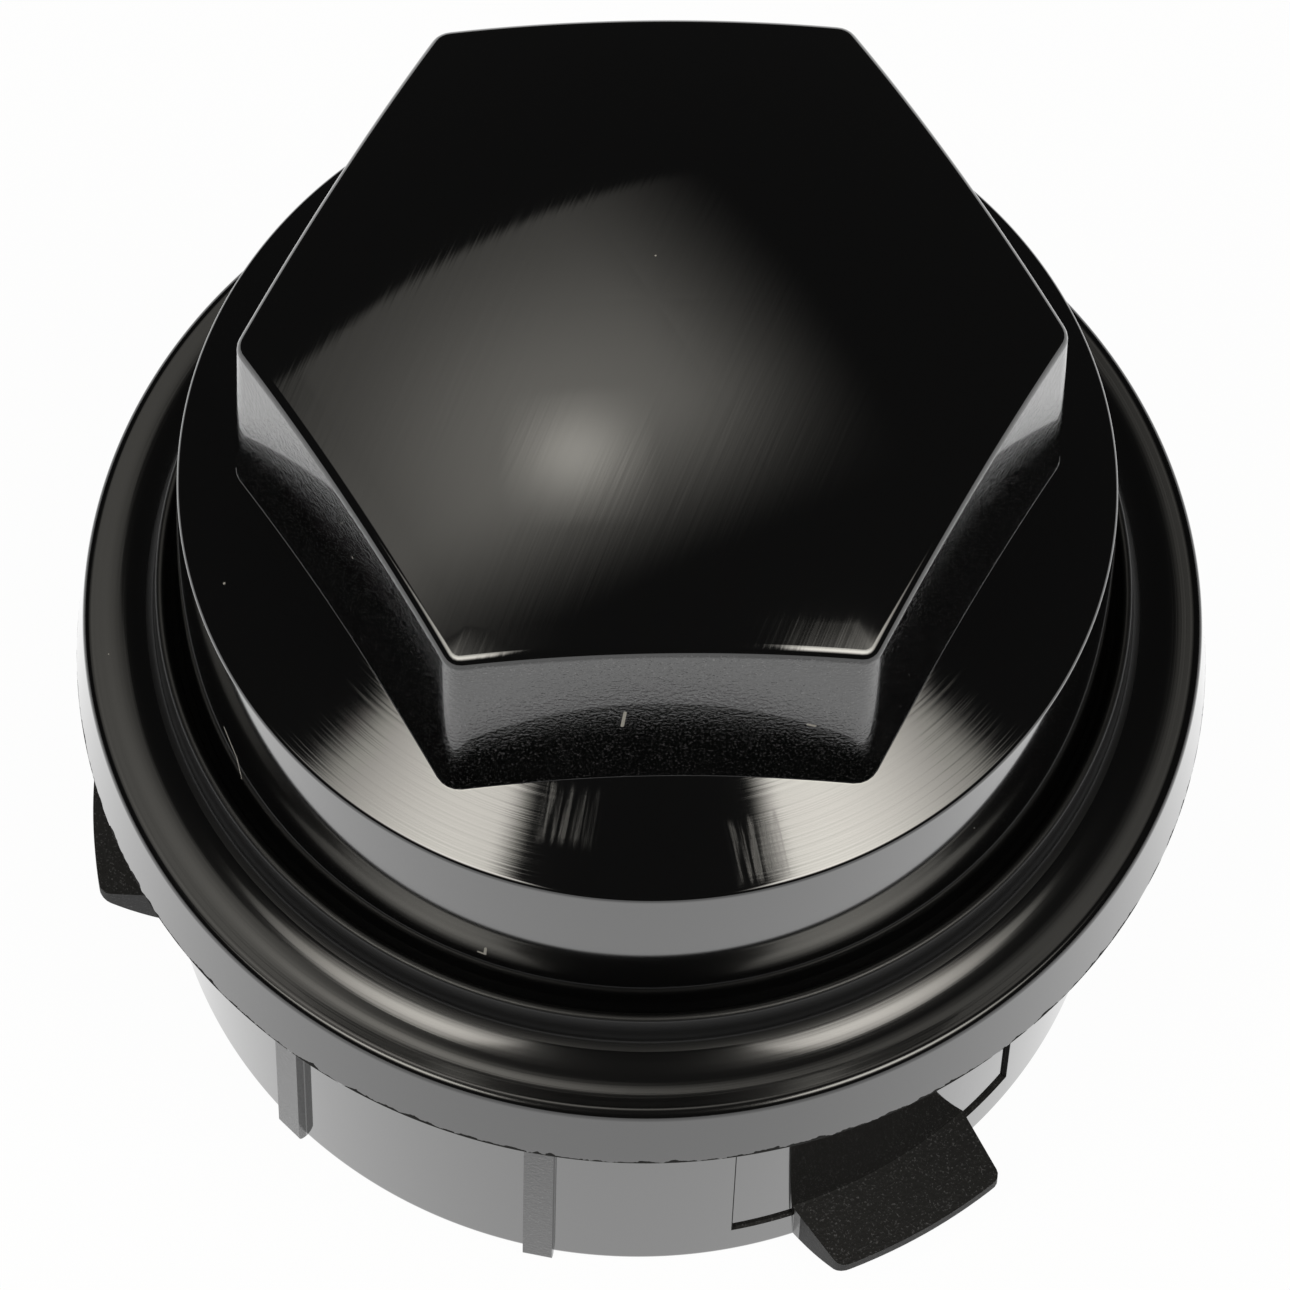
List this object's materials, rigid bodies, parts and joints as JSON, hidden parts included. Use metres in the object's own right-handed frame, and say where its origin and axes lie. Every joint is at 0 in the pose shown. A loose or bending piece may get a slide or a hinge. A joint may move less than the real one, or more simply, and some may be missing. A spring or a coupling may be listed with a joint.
{
  "type": "wheel nut cover cap",
  "caption": "Black plastic wheel nut cover cap: crowned hexagonal head on a round shoulder, beaded flange, and a bored skirt with snap tabs and guide ribs.",
  "frame": {"origin": "on the cap's axis, in the plane of the skirt's mouth", "axes": "+Z along the axis towards the hexagonal head, with a corner of the hexagon on +X"},
  "size_m": [0.036, 0.036, 0.036],
  "materials": {
    "black_plastic": "gloss"
  },
  "bodies": {
    "root": {"nut_cover_cap": "black_plastic"}
  },
  "joints": []
}
